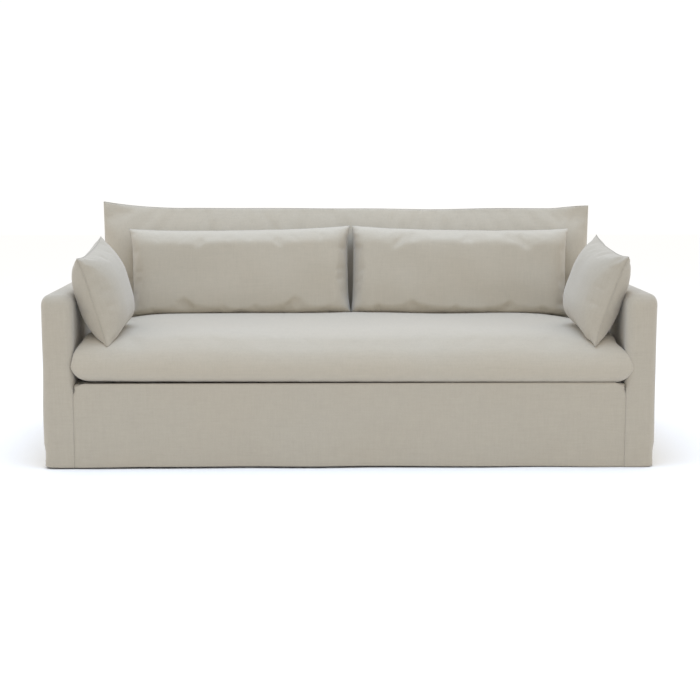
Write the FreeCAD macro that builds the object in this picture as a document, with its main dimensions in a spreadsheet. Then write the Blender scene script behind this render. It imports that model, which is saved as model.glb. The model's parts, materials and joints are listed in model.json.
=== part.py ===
import FreeCAD, Part
import Sketcher
import math
import os
import re

# A three-seat sofa in a loose fabric cover: a hardwood frame on six tapered wooden legs, elastic webbing,
# padding, a sewn slipcover whose skirt hangs to the floor, one bench seat cushion, two back cushions and
# two small pillows. Millimetres. +X is the sofa's left-to-right width as seen from the front, the front
# faces -Y, +Z is up, and the origin is on the floor under the middle of the sofa.

doc = FreeCAD.newDocument("sofa")

SIZES = {
    # outside of the sofa
    "width": 2200,
    "depth": 990,
    "back_height": 900,
    "arm_height": 626,
    "arm_thickness": 107,
    "deck_height": 305,
    "hem_gap": 6,
    "front_setback": 10,
    # layers
    "cloth": 3,
    "padding": 12,
    "hardboard": 3,
    "board": 25,
    "strap": 2,
    "ease": 0.5,
    # wooden frame
    "rail_height": 140,
    "post_depth": 45,
    "block_leg": 90,
    "block_height": 45,
    "stretcher_height": 90,
    "stretcher_place": 337,
    "upright_place": 376,
    "upright_depth": 65,
    "upright_top": 815,
    # legs
    "glide_height": 5,
    "glide_radius": 14,
    "leg_height": 125,
    "leg_foot_radius": 17,
    "leg_top_radius": 26,
    "leg_inset": 45,
    "plate_thickness": 3,
    "plate_side": 60,
    "bolt_radius": 5,
    "bolt_length": 43,
    # webbing
    "strap_width": 60,
    "strap_pitch": 180,
    "clip_length": 20,
    "clip_thickness": 1.5,
    # back
    "back_foot": 330,
    "rake": 7,
    "back_shoulder": 850,
    # cushions
    "seat_thickness": 170,
    "seat_side_gap": 3,
    "seat_rear": 325,
    "back_cushion_width": 892,
    "back_cushion_height": 345,
    "back_cushion_thickness": 140,
    "back_cushion_gap": 7,
    "back_cushion_shift": 8,
    "pillow_side": 330,
    "pillow_thickness": 126,
    "seat_round": 70,
    "back_cushion_round": 58,
    "pillow_round": 54,
    "cushion_gap": 1.5,
    # zips
    "zip_height": 22,
    "zip_thickness": 2,
    "seat_zip_length": 1300,
    "back_zip_length": 560,
    "slider_length": 10,
    "slider_height": 16,
    "slider_thickness": 3,
}

sheet = doc.addObject("Spreadsheet::Sheet", "Sizes")
for row, (alias, number) in enumerate(SIZES.items(), start=1):
    sheet.set("A%d" % row, alias)
    sheet.set("B%d" % row, str(number))
    sheet.setAlias("B%d" % row, alias)
doc.recompute()

# Derived places, as formulas in the sheet's names.
PLACES = {
    "half": "(width / 2)",
    "rear": "(depth / 2)",
    "arm_front": "(front_setback - depth / 2)",
    "arm_in": "(width / 2 - arm_thickness)",
    "post_out": "(width / 2 - cloth - padding - hardboard)",
    "post_in": "(width / 2 - arm_thickness + cloth + padding + hardboard)",
    "frame_front": "(front_setback - depth / 2 + cloth + padding + hardboard)",
    "frame_rear": "(depth / 2 - cloth - padding - hardboard)",
    "rail_bottom": "(glide_height + leg_height + plate_thickness)",
    "rail_top": "(glide_height + leg_height + plate_thickness + rail_height)",
    "arm_rail_top": "(arm_height - cloth - padding - hardboard)",
    "seat_top": "(deck_height + seat_thickness)",
}


def bind(text):
    """Write a formula in plain names as an expression on the sheet."""
    def name(match):
        word = match.group(0)
        if word in PLACES:
            return bind(PLACES[word])
        return "Sizes." + word if word in SIZES else word
    return re.sub(r"[a-z_]+", name, text)


def minus(text):
    return "-(%s)" % text


def mirror(span, side):
    """A span along X on the right side (+1), or its mirror image on the left side (-1)."""
    low, high = span
    return (low, high) if side > 0 else (minus(high), minus(low))


def place(thing, x="0", y="0", z="0"):
    for axis, text in zip("xyz", (x, y, z)):
        thing.setExpression("Placement.Base." + axis, bind(text))
    return thing


def box(name, x, y, z):
    """A box between two planes along each axis."""
    solid = doc.addObject("Part::Box", name)
    for size, (low, high) in (("Length", x), ("Width", y), ("Height", z)):
        solid.setExpression(size, bind("(%s) - (%s)" % (high, low)))
    return place(solid, x[0], y[0], z[0])


def rod(name, radius, length, x="0", y="0", z="0"):
    solid = doc.addObject("Part::Cylinder", name)
    solid.setExpression("Radius", bind(radius))
    solid.setExpression("Height", bind(length))
    return place(solid, x, y, z)


def cut(name, base, *tools):
    for number, tool in enumerate(tools):
        solid = doc.addObject("Part::Cut", "%s_%d" % (name, number))
        solid.Base = base
        solid.Tool = tool
        base = solid
    base.Label = name
    return base


def group(name, solids):
    """Identical separate pieces that share one node."""
    pieces = doc.addObject("Part::Compound", name)
    pieces.Links = solids
    return pieces


def outline(body, role, points):
    """A closed outline on one of the body's own planes, each corner held by its two coordinates."""
    sketch = body.newObject("Sketcher::SketchObject", body.Name + "_outline")
    planes = [plane for plane in body.Origin.OriginFeatures if plane.Role == role]
    sketch.AttachmentSupport = (planes[0], [""])
    sketch.MapMode = "FlatFace"
    count = len(points)
    for corner in range(count):
        start = FreeCAD.Vector(corner, corner * corner, 0)
        after = (corner + 1) % count
        end = FreeCAD.Vector(after, after * after, 0)
        sketch.addGeometry(Part.LineSegment(start, end), False)
    for corner in range(count):
        sketch.addConstraint(Sketcher.Constraint("Coincident", corner, 2, (corner + 1) % count, 1))
    for corner, coordinates in enumerate(points):
        for kind, start, text in zip(("DistanceX", "DistanceY"), (corner, corner * corner), coordinates):
            number = sketch.addConstraint(Sketcher.Constraint(kind, -1, 1, corner, 1, start))
            label = "%s_%d" % (kind, corner)
            sketch.renameConstraint(number, label)
            sketch.setExpression("Constraints." + label, bind(text))
    return sketch


def prism(name, role, points, length, centred=True):
    body = doc.addObject("PartDesign::Body", name)
    sketch = outline(body, role, points)
    pad = body.newObject("PartDesign::Pad", name + "_pad")
    pad.Profile = sketch
    pad.SideType = "Symmetric" if centred else "One side"
    pad.setExpression("Length", bind(length))
    body.Tip = pad
    return body


def side_profile(name, points, length):
    """A prism along X from an outline in Y and Z."""
    return prism(name, "YZ_Plane", points, length)


def flat_block(name, width, height, thickness, less="0"):
    """A block centred on its own origin: width along X, height along Z, thickness along Y. less takes the
    same layer off every face."""
    half_width = "((%s) / 2 - %s)" % (width, less)
    half_height = "((%s) / 2 - %s)" % (height, less)
    corners = [
        (minus(half_width), minus(half_height)),
        (half_width, minus(half_height)),
        (half_width, half_height),
        (minus(half_width), half_height),
    ]
    return prism(name, "XZ_Plane", corners, "%s - 2 * (%s)" % (thickness, less))


def soft_block(name, width, height, thickness, rounding, less="0"):
    """A stuffed block with every edge rounded."""
    body = flat_block(name, width, height, thickness, less)
    doc.recompute()
    pad = body.Tip
    edges = ["Edge%d" % (number + 1) for number in range(len(pad.Shape.Edges))]
    fillet = body.newObject("PartDesign::Fillet", name + "_round")
    fillet.Base = (pad, edges)
    fillet.setExpression("Radius", bind("%s - %s" % (rounding, less)))
    body.Tip = fillet
    return body


def cushion(name, stuffing, width, height, thickness, rounding, pose):
    """A sewn cover, and the stuffing inside it."""
    outside = soft_block(name + "_outside", width, height, thickness, rounding)
    inside = soft_block(name + "_inside", width, height, thickness, rounding, less="cloth")
    insert = soft_block("%s_%s" % (name, stuffing), width, height, thickness, rounding, less="(cloth + ease)")
    for solid in (outside, inside, insert):
        solid.Placement = pose
    return [cut(name + "_cover", outside, inside), insert]


def seat_frame():
    across = (minus("post_in"), "post_in")
    height = ("rail_bottom", "rail_top")
    parts = [
        box("front_rail", across, ("frame_front", "frame_front + board"), height),
        box("rear_rail", across, ("frame_rear - board", "frame_rear"), height),
    ]
    between_posts = ("frame_front + post_depth", "frame_rear - post_depth")
    for side, hand in ((-1, "left"), (1, "right")):
        outward = mirror(("post_in", "post_in + board"), side)
        parts.append(box(hand + "_side_rail", outward, between_posts, ("rail_bottom", "rail_top + strap")))
    between_rails = ("frame_front + board", "frame_rear - board")
    stretchers = []
    for side in (-1, 1):
        span = mirror(("stretcher_place - board / 2", "stretcher_place + board / 2"), side)
        stretchers.append(box("stretcher_%d" % (side + 1), span, between_rails,
                              ("rail_bottom", "rail_bottom + stretcher_height")))
    parts.append(group("seat_stretchers", stretchers))
    blocks = []
    for side in (-1, 1):
        for end, rail_face in ((1, "frame_front + board"), (-1, "frame_rear - board")):
            corner_x = "%d * post_in" % side
            corners = [
                (corner_x, rail_face),
                (corner_x, "%s + %d * block_leg" % (rail_face, end)),
                ("%d * (post_in - block_leg)" % side, rail_face),
            ]
            block = prism("block_%d_%d" % (side + 1, end + 1), "XY_Plane", corners, "block_height", centred=False)
            blocks.append(place(block, z="rail_bottom"))
    parts.append(group("corner_blocks", blocks))
    return parts


def arm(side, hand):
    """The frame, hardboard, padding and cover of one arm."""
    post_x = mirror(("post_in", "post_out"), side)
    post_z = ("rail_bottom", "arm_rail_top - board")
    parts = [
        box(hand + "_front_post", post_x, ("frame_front", "frame_front + post_depth"), post_z),
        box(hand + "_rear_post", post_x, ("frame_rear - post_depth", "frame_rear"), post_z),
        box(hand + "_arm_rail", post_x, ("frame_front", "frame_rear"), ("arm_rail_top - board", "arm_rail_top")),
    ]
    along = ("frame_front", "frame_rear")
    outer = box(hand + "_outer_panel", mirror(("post_out", "post_out + hardboard"), side), along,
                ("rail_bottom", "arm_rail_top"))
    inner = box(hand + "_inner_panel", mirror(("post_in - hardboard", "post_in"), side), along,
                ("deck_height", "arm_rail_top"))
    parts.append(group(hand + "_arm_panels", [outer, inner]))

    foam_x = mirror(("arm_in + cloth + ease", "half - cloth - ease"), side)
    foam = box(hand + "_foam_block", foam_x, ("arm_front + cloth + ease", "rear - cloth - ease"),
               ("deck_height", "arm_height - cloth - ease"))
    core_x = mirror(("post_in - hardboard", "post_out + hardboard"), side)
    core = box(hand + "_foam_core", core_x, ("frame_front", "rear"), ("0", "arm_rail_top"))
    parts.append(cut(hand + "_arm_foam", foam, core))

    shell = box(hand + "_shell", mirror(("arm_in", "half"), side), ("arm_front", "rear - cloth"),
                ("hem_gap", "arm_height"))
    cavity = box(hand + "_cavity", mirror(("arm_in + cloth", "half - cloth"), side),
                 ("arm_front + cloth", "rear"), ("0", "arm_height - cloth"))
    under_deck = box(hand + "_under_deck", mirror(("arm_in - cloth", "half - 2 * cloth"), side),
                     ("arm_front + cloth", "rear"), ("0", "deck_height - cloth"))
    parts.append(cut("slipcover_%s_arm" % hand, shell, cavity, under_deck))
    return parts


def webbing():
    long_span = ("frame_front", "frame_rear")
    straps = []
    clips = []
    for number in range(-5, 5):
        middle = "(%d + 0.5) * strap_pitch" % number
        span = (middle + " - strap_width / 2", middle + " + strap_width / 2")
        straps.append(box("long_strap_%d" % (number + 5), span, long_span, ("rail_top", "rail_top + strap")))
        for end, clip_y in enumerate((("frame_front", "frame_front + clip_length"),
                                      ("frame_rear - clip_length", "frame_rear"))):
            clips.append(box("clip_%d_%d" % (number + 5, end), span, clip_y,
                             ("rail_top + strap", "rail_top + strap + clip_thickness")))
    across = (minus("(post_in + board)"), "post_in + board")
    cross = []
    for number in (-1, 0, 1):
        middle = "%d * strap_pitch" % number
        span = (middle + " - strap_width / 2", middle + " + strap_width / 2")
        cross.append(box("cross_strap_%d" % (number + 1), across, span,
                         ("rail_top + strap", "rail_top + 2 * strap")))
    return [group("seat_webbing", straps), group("cross_webbing", cross), group("webbing_clips", clips)]


def front_of_back(height):
    """Where the front of the back stands, along Y, at a height above the floor."""
    return "(back_foot + (%s - deck_height) * tan(rake * 1 deg))" % height


def back():
    """Frame, webbing, padding and cover of the fixed back, which stands between the arms."""
    upright_front = "(frame_rear - upright_depth)"
    upright_knee = "(arm_height - 2 * board)"
    top_rear = "(frame_rear - 1.5 * board)"
    upright_outline = [
        (upright_front, "rail_bottom + block_height"),
        ("frame_rear - board", "rail_bottom + block_height"),
        ("frame_rear - board", "rail_top"),
        ("frame_rear", "rail_top"),
        ("frame_rear", upright_knee),
        (top_rear, "upright_top"),
        (upright_front, "upright_top"),
    ]
    uprights = []
    end_place = "(arm_in - board)"
    for number, middle in enumerate((minus(end_place), minus("upright_place"), "upright_place", end_place)):
        upright = side_profile("upright_%d" % number, upright_outline, "board")
        uprights.append(place(upright, x=middle))
    inside = "(arm_in - cloth - ease)"
    across = (minus(inside), inside)
    top_rail = box("back_top_rail", across, (upright_front, top_rear), ("upright_top", "upright_top + board"))
    panel = side_profile("back_panel", [
        ("frame_rear", "rail_top + strap + clip_thickness"),
        ("frame_rear + hardboard", "rail_top + strap + clip_thickness"),
        ("frame_rear + hardboard", upright_knee),
        (top_rear + " + hardboard", "upright_top"),
        (top_rear, "upright_top"),
        ("frame_rear", upright_knee),
    ], "2 * " + inside)
    straps = []
    for number in range(1, 5):
        middle = "(seat_top + (%d - 1.5) * strap_pitch / 2)" % number
        straps.append(box("back_strap_%d" % number, across, (upright_front + " - strap", upright_front),
                          (middle + " - strap_width / 2", middle + " + strap_width / 2")))
    foam_front = "cloth + ease"
    foam = side_profile("back_foam", [
        (front_of_back("deck_height") + " + " + foam_front, "deck_height"),
        (upright_front + " - strap", "deck_height"),
        (upright_front + " - strap", "upright_top + board"),
        (front_of_back("(upright_top + board)") + " + " + foam_front, "upright_top + board"),
    ], "2 * " + inside)
    peak = "(%s + board)" % front_of_back("back_shoulder")
    roll = side_profile("back_top_roll", [
        (front_of_back("(upright_top + board)") + " + cloth + padding / 4", "upright_top + board"),
        (top_rear, "upright_top + board"),
        (peak + " + cloth", "back_height - padding"),
        (peak, "back_height - padding"),
    ], "2 * " + inside)

    outside = side_profile("back_outside", [
        (front_of_back("deck_height"), "deck_height"),
        ("rear - cloth", "deck_height"),
        ("rear - cloth", "arm_height"),
        (top_rear + " + 4 * cloth", "back_shoulder"),
        (peak + " + 2 * cloth", "back_height"),
        (peak + " - cloth", "back_height"),
        (front_of_back("back_shoulder"), "back_shoulder"),
    ], "2 * arm_in")
    hollow = side_profile("back_hollow", [
        (front_of_back("deck_height") + " + cloth", "deck_height - cloth"),
        ("rear - 2 * cloth", "deck_height - cloth"),
        ("rear - 2 * cloth", "arm_height - cloth"),
        (top_rear + " + 3 * cloth", "back_shoulder - cloth"),
        (peak + " + cloth", "back_height - 2 * cloth"),
        (peak + " - cloth / 2", "back_height - 2 * cloth"),
        (front_of_back("back_shoulder") + " + cloth", "back_shoulder - cloth"),
    ], "2 * (arm_in - cloth)")
    cover = cut("slipcover_back", outside, hollow)
    rear_panel = box("slipcover_rear", (minus("half"), "half"), ("rear - cloth", "rear"),
                     ("hem_gap", "arm_height"))
    return [group("back_uprights", uprights), top_rail, panel, group("back_webbing", straps), foam, roll,
            cover, rear_panel]


LEG_PLACES = {
    "front_left": (-1, 1),
    "front_centre": (0, 1),
    "front_right": (1, 1),
    "rear_left": (-1, -1),
    "rear_centre": (0, -1),
    "rear_right": (1, -1),
}


def legs():
    """Six turned legs, each screwed into a steel plate under the frame, with a felt glide below."""
    profile = [
        ("0", "glide_height"),
        ("leg_foot_radius", "glide_height"),
        ("leg_top_radius", "glide_height + leg_height"),
        ("bolt_radius", "glide_height + leg_height"),
        ("bolt_radius", "rail_bottom - bolt_length"),
        ("0", "rail_bottom - bolt_length"),
    ]
    parts = []
    plates = []
    bolts = []
    glides = []
    openings = []
    for name, (across, end) in LEG_PLACES.items():
        x = "%d * (post_in - leg_inset)" % across
        y = "frame_front + leg_inset" if end > 0 else "frame_rear - leg_inset"
        leg = doc.addObject("PartDesign::Body", name + "_leg")
        sketch = outline(leg, "XZ_Plane", profile)
        turning = leg.newObject("PartDesign::Revolution", name + "_turning")
        turning.Profile = sketch
        turning.ReferenceAxis = (sketch, ["V_Axis"])
        turning.Angle = 360
        leg.Tip = turning
        parts.append(place(leg, x, y))
        square = [("%s - plate_side / 2" % middle, "%s + plate_side / 2" % middle) for middle in (x, y)]
        plate = box(name + "_plate_blank", square[0], square[1], ("rail_bottom - plate_thickness", "rail_bottom"))
        hole = rod(name + "_plate_hole", "bolt_radius", "rail_bottom", x, y)
        plates.append(cut(name + "_plate", plate, hole))
        bolts.append(rod(name + "_bolt", "bolt_radius", "bolt_length", x, y, "rail_bottom - bolt_length"))
        glides.append(rod(name + "_glide", "glide_radius", "glide_height", x, y))
        wide = [("%s - plate_side / 2 - cloth" % middle, "%s + plate_side / 2 + cloth" % middle)
                for middle in (x, y)]
        openings.append(box(name + "_opening", wide[0], wide[1], ("0", "rail_bottom")))
    sheet_blank = box("dust_sheet", (minus("post_in"), "post_in"), ("frame_front", "frame_rear"),
                      ("rail_bottom - cloth / 2", "rail_bottom"))
    parts += [group("leg_plates", plates), group("leg_bolts", bolts), group("leg_glides", glides)]
    parts.append(cut("dust_cover", sheet_blank, *openings))
    return parts


def deck():
    """Padding over the webbing and the front rail, and the parts of the cover that lie on them."""
    across = (minus("arm_in"), "arm_in")
    pad = box("deck_pad", (minus("(arm_in - cloth)"), "arm_in - cloth"),
              ("frame_front", "frame_rear - upright_depth - strap"),
              ("rail_top + 2 * strap", "deck_height - cloth"))
    lip = box("front_padding", across, ("arm_front + cloth", "frame_front"), ("rail_bottom", "deck_height - cloth"))
    cloth = box("slipcover_deck", across, ("arm_front + cloth", front_of_back("deck_height")),
                ("deck_height - cloth", "deck_height"))
    skirt = box("slipcover_front", across, ("arm_front", "arm_front + cloth"), ("hem_gap", "deck_height"))
    return [pad, lip, cloth, skirt]


def read(alias):
    return float(sheet.get(alias))


def zip_and_slider(name, length, pose, rear, height):
    """A zip's tape and teeth, and the slider that runs along it, on the rear of a cushion."""
    tape = flat_block(name + "_zip", length, "zip_height", "zip_thickness")
    slider = flat_block(name + "_zip_slider", "slider_length", "slider_height", "slider_thickness")
    tape_rear = rear + read("zip_thickness")
    slider_x = (read("slider_length") - read(length)) / 2
    tape.Placement = pose * FreeCAD.Placement(
        FreeCAD.Vector(0, rear + read("zip_thickness") / 2, height), FreeCAD.Rotation())
    slider.Placement = pose * FreeCAD.Placement(
        FreeCAD.Vector(slider_x, tape_rear + read("slider_thickness") / 2, height), FreeCAD.Rotation())
    return [tape, slider]


def seat_cushion():
    """The bench cushion fills the seat between the arms and reaches a little past their fronts."""
    seat_depth = read("seat_rear") + read("depth") / 2
    middle = FreeCAD.Vector(0, read("seat_rear") - seat_depth / 2,
                            read("deck_height") + read("ease") + read("seat_thickness") / 2)
    pose = FreeCAD.Placement(middle, FreeCAD.Rotation())
    parts = cushion("seat_cushion", "core", "2 * (arm_in - seat_side_gap)", "seat_thickness",
                    "(seat_rear + depth / 2)", "seat_round", pose)
    return parts + zip_and_slider("seat_cushion", "seat_zip_length", pose, seat_depth / 2, 0)


def back_cushions():
    """Two cushions side by side on the seat cushion, leaning on the raked back."""
    rake = math.radians(read("rake"))
    thickness = read("back_cushion_thickness")
    corner_round = read("back_cushion_round")
    off_back = thickness / 2 + read("back_cushion_gap")
    lowest = (read("back_cushion_height") / 2 - corner_round) * math.cos(rake) + corner_round
    lowest += (thickness / 2 - corner_round) * math.sin(rake)
    seat_top = read("deck_height") + read("seat_thickness") + read("cushion_gap")
    middle_z = seat_top + lowest
    rise = middle_z - off_back * math.sin(rake) - read("deck_height")
    middle_y = read("back_foot") + rise * math.tan(rake) - off_back * math.cos(rake)
    parts = []
    for side, hand in ((-1, "left"), (1, "right")):
        name = hand + "_back_cushion"
        middle_x = read("back_cushion_shift") + side * (read("back_cushion_width") + read("cushion_gap")) / 2
        lean = FreeCAD.Rotation(FreeCAD.Vector(1, 0, 0), -read("rake"))
        pose = FreeCAD.Placement(FreeCAD.Vector(middle_x, middle_y, middle_z), lean)
        parts += cushion(name, "insert", "back_cushion_width", "back_cushion_height",
                         "back_cushion_thickness", "back_cushion_round", pose)
        low = read("zip_height") - read("back_cushion_height") / 2 + corner_round
        parts += zip_and_slider(name, "back_zip_length", pose, thickness / 2, low)
    return parts


# Where the small pillows stand: the middle of each, then how far it is turned about Z, leant on its arm
# about Y and rolled about X by the slope of the seat, in degrees.
PILLOWS = {
    "left": ((-914, -240, 654), (-8, -21, 9)),
    "right": ((905, -240, 652), (15, 25, 9)),
}


def pillows():
    """A small pillow leans on each arm. Its broad faces look across the sofa."""
    parts = []
    for hand, (middle, turns) in PILLOWS.items():
        upright = FreeCAD.Rotation(FreeCAD.Vector(0, 0, 1), 90)
        pose = FreeCAD.Placement(FreeCAD.Vector(*middle), FreeCAD.Rotation(*turns) * upright)
        parts += cushion(hand + "_pillow", "insert", "pillow_side", "pillow_side", "pillow_thickness",
                         "pillow_round", pose)
    return parts


def check(parts):
    """Stop unless every object was made and every sub-part is one or more sound solids."""
    doc.recompute()
    for thing in doc.Objects:
        faults = {"Invalid", "Error"} & set(thing.State)
        if faults:
            raise RuntimeError("%s: %s" % (thing.Label, ", ".join(faults)))
    labels = [part.Label for part in parts]
    if len(set(labels)) != len(labels):
        raise RuntimeError("two sub-parts share a name")
    for part in parts:
        if part.Shape.isNull() or not part.Shape.isValid() or not part.Shape.Solids:
            raise RuntimeError(part.Label + " has no sound solid")


parts = seat_frame() + arm(-1, "left") + arm(1, "right") + webbing() + back() + legs() + deck()
parts += seat_cushion() + back_cushions() + pillows()
check(parts)
os.makedirs("parts", exist_ok=True)
for part in parts:
    part.Shape.exportStep("parts/%s.step" % part.Label)
    print("%-30s %d solid(s) %9.1f cm3" % (part.Label, len(part.Shape.Solids), part.Shape.Volume / 1000))
print(len(parts), "nodes")
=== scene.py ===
import json
import math
import bpy
import numpy as np
from mathutils import Euler, Matrix, Vector
from mathutils.bvhtree import BVHTree


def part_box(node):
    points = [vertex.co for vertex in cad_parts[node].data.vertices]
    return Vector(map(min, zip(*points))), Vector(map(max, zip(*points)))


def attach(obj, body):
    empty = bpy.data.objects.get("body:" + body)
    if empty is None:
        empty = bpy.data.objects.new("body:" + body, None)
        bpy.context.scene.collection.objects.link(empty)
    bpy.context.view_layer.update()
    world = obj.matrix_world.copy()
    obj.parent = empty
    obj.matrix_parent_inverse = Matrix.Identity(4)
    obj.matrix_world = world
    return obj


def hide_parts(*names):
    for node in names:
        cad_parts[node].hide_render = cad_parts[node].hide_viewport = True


# The looks of a slipcovered three-seat sofa: linen, stuffed cushions, seams, hems and the frame's materials.
# Metres, in the CAD model's frame: +X along the sofa, -Y out of its front, +Z up.

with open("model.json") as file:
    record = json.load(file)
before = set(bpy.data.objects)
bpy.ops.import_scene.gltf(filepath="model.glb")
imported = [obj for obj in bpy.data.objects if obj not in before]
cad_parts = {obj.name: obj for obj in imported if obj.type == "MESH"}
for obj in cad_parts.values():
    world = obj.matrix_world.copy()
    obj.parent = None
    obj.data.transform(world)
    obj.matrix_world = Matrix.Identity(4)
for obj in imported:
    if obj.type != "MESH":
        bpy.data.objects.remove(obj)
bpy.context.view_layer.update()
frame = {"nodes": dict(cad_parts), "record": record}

ARM_LOW, ARM_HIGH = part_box("slipcover_right_arm")
BACK_LOW, BACK_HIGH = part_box("slipcover_back")

# The right arm's inner and outer sides, its top, and the radii of its edges.
ARM_IN = ARM_LOW[0]
ARM_OUT = ARM_HIGH[0]
ARM_TOP = ARM_HIGH[2]
ARM_ROUND_OUT = 0.028
ARM_ROUND_IN = 0.030
ARM_ROUND_TOP = 0.038
# The arms' front and rear ends, the rear skirt, the seat cushion's rear, and the heights of deck and hem.
FRONT = ARM_LOW[1]
REAR = ARM_HIGH[1]
REAR_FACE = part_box("slipcover_rear")[1][1]
SEAT_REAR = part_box("seat_cushion_cover")[1][1]
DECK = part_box("slipcover_front")[1][2]
HEM = 0.003
CLOTH = 0.0025              # thickness of the slipcover's cloth
RAKE = math.radians(7)      # how far the back leans


# ---------------------------------------------------------------- shapes as arrays

def smooth(t):
    """0 below 0, 1 above 1, and an even curve between."""
    t = np.clip(t, 0.0, 1.0)
    return t * t * (3.0 - 2.0 * t)


def swell(t, power):
    """How a stuffed panel rises from its seam: steep at first, level after t = 1."""
    t = np.clip(t, 0.0, 1.0)
    return (1.0 - (1.0 - t) ** 2) ** power


def near(distance, reach):
    """1 at an edge, 0 from a reach on, and an even curve between."""
    return smooth(1.0 - distance / reach)


def unit(vectors):
    return vectors / np.maximum(np.linalg.norm(vectors, axis=1, keepdims=True), 1e-9)


def ripple(points, wavelength, seed):
    """Smooth unevenness about zero, the same every run."""
    draw = np.random.default_rng(seed)
    total = np.zeros(len(points))
    waves = 9
    for _ in range(waves):
        direction = draw.normal(size=3)
        direction /= np.linalg.norm(direction)
        direction *= 2.0 * math.pi / (wavelength * draw.uniform(0.7, 1.7))
        total += np.sin(points @ direction + draw.uniform(0.0, 2.0 * math.pi))
    return total / math.sqrt(waves / 2.0)


def coordinates(mesh):
    values = np.empty(len(mesh.vertices) * 3)
    mesh.vertices.foreach_get("co", values)
    return values.reshape(-1, 3)


def set_coordinates(mesh, points):
    mesh.vertices.foreach_set("co", np.ascontiguousarray(points, dtype=np.float32).ravel())
    mesh.update()


def normals(mesh):
    values = np.empty(len(mesh.vertices) * 3)
    mesh.vertices.foreach_get("normal", values)
    return values.reshape(-1, 3)


def make_piece(name, points, faces, material):
    mesh = bpy.data.meshes.new(name)
    places = [tuple(map(float, point)) for point in points]
    mesh.from_pydata(places, [], [tuple(map(int, face)) for face in faces])
    mesh.materials.append(material)
    mesh.update()
    mesh.shade_smooth()
    piece = bpy.data.objects.new(name, mesh)
    bpy.context.scene.collection.objects.link(piece)
    return piece


def apply_modifiers(piece):
    """Replace the piece's mesh by what its modifiers make of it."""
    graph = bpy.context.evaluated_depsgraph_get()
    graph.update()
    mesh = bpy.data.meshes.new_from_object(piece.evaluated_get(graph))
    piece.modifiers.clear()
    piece.data = mesh
    mesh.shade_smooth()


def subdivide(piece):
    piece.modifiers.new("subdivision", "SUBSURF").levels = 1
    apply_modifiers(piece)


def thicken(piece, thickness=CLOTH):
    solidify = piece.modifiers.new("thickness", "SOLIDIFY")
    solidify.thickness = thickness
    solidify.offset = -1.0
    apply_modifiers(piece)


def grid_faces(index):
    """Four-sided faces of a grid of vertex numbers."""
    return [(index[i, j], index[i + 1, j], index[i + 1, j + 1], index[i, j + 1])
            for i in range(index.shape[0] - 1) for j in range(index.shape[1] - 1)]


class Panels:
    """Two sewn panels that share their rim, as a grid: u and v run from -1 to 1 across each panel, side is
    1 on the front panel, -1 on the back panel and 0 on the rim."""

    def __init__(self, columns, rows):
        u, v = np.meshgrid(np.linspace(-1, 1, columns + 1), np.linspace(-1, 1, rows + 1), indexing="ij")
        inner = np.zeros(u.shape, bool)
        inner[1:-1, 1:-1] = True
        front = np.arange(u.size).reshape(u.shape)
        back = front.copy()
        back[inner] = u.size + np.arange(inner.sum())
        self.u = np.concatenate([u.ravel(), u[inner]])
        self.v = np.concatenate([v.ravel(), v[inner]])
        self.side = np.concatenate([inner.ravel().astype(float), -np.ones(inner.sum())])
        self.faces = grid_faces(front) + [face[::-1] for face in grid_faces(back)]
        self.rim = np.concatenate([front[:, 0], front[-1, 1:], front[-2::-1, -1], front[0, -2:0:-1]])


def run_cloth(piece, frames, pressure, pinned, growth, bending=0.5):
    """Let a closed cloth shape swell under pressure between its pinned seams, with no gravity, and return
    where its points end. growth is how much the panels are cut larger than the shape."""
    stiffness = 20.0
    cloth = piece.modifiers.new("cloth", "CLOTH")
    settings = cloth.settings
    settings.quality = 5
    settings.mass = 0.3
    settings.air_damping = 4.0
    settings.tension_stiffness = stiffness
    settings.compression_stiffness = stiffness
    settings.shear_stiffness = stiffness / 3.0
    settings.bending_stiffness = bending
    settings.shrink_min = -growth
    settings.shrink_max = -growth
    settings.use_pressure = True
    settings.uniform_pressure_force = pressure
    group = piece.vertex_groups.new(name="pinned")
    group.add([int(number) for number in np.nonzero(pinned)[0]], 1.0, "REPLACE")
    settings.vertex_group_mass = "pinned"
    settings.effector_weights.gravity = 0.0
    cloth.point_cache.frame_end = frames
    for number in range(1, frames + 1):
        bpy.context.scene.frame_set(number)
    graph = bpy.context.evaluated_depsgraph_get()
    end = coordinates(piece.evaluated_get(graph).data)
    piece.modifiers.clear()
    piece.vertex_groups.clear()
    bpy.context.scene.frame_set(1)
    return end


def capped(start, end, most):
    """Move from start towards end, by no more than a set distance."""
    move = end - start
    length = np.linalg.norm(move, axis=1, keepdims=True)
    return start + move * np.minimum(1.0, most / np.maximum(length, 1e-9))


def rounded(points, core, radius):
    """Draw the points of square edges in, so that they lie on a rounded edge about a core."""
    away = (points - core) / radius
    square = np.abs(away).max(axis=1, keepdims=True)
    length = np.linalg.norm(away, axis=1, keepdims=True)
    return core + away * radius * square / np.maximum(length, 1e-9)


def out_of_box(points, low, high, radius, gap):
    """Push points out of a box with rounded edges."""
    core = np.clip(points, np.array(low) + radius, np.array(high) - radius)
    away = points - core
    length = np.linalg.norm(away, axis=1, keepdims=True)
    inside = (length < radius + gap) & (length > 1e-6)
    pushed = core + away / np.maximum(length, 1e-9) * (radius + gap)
    return np.where(inside, pushed, points)


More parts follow.
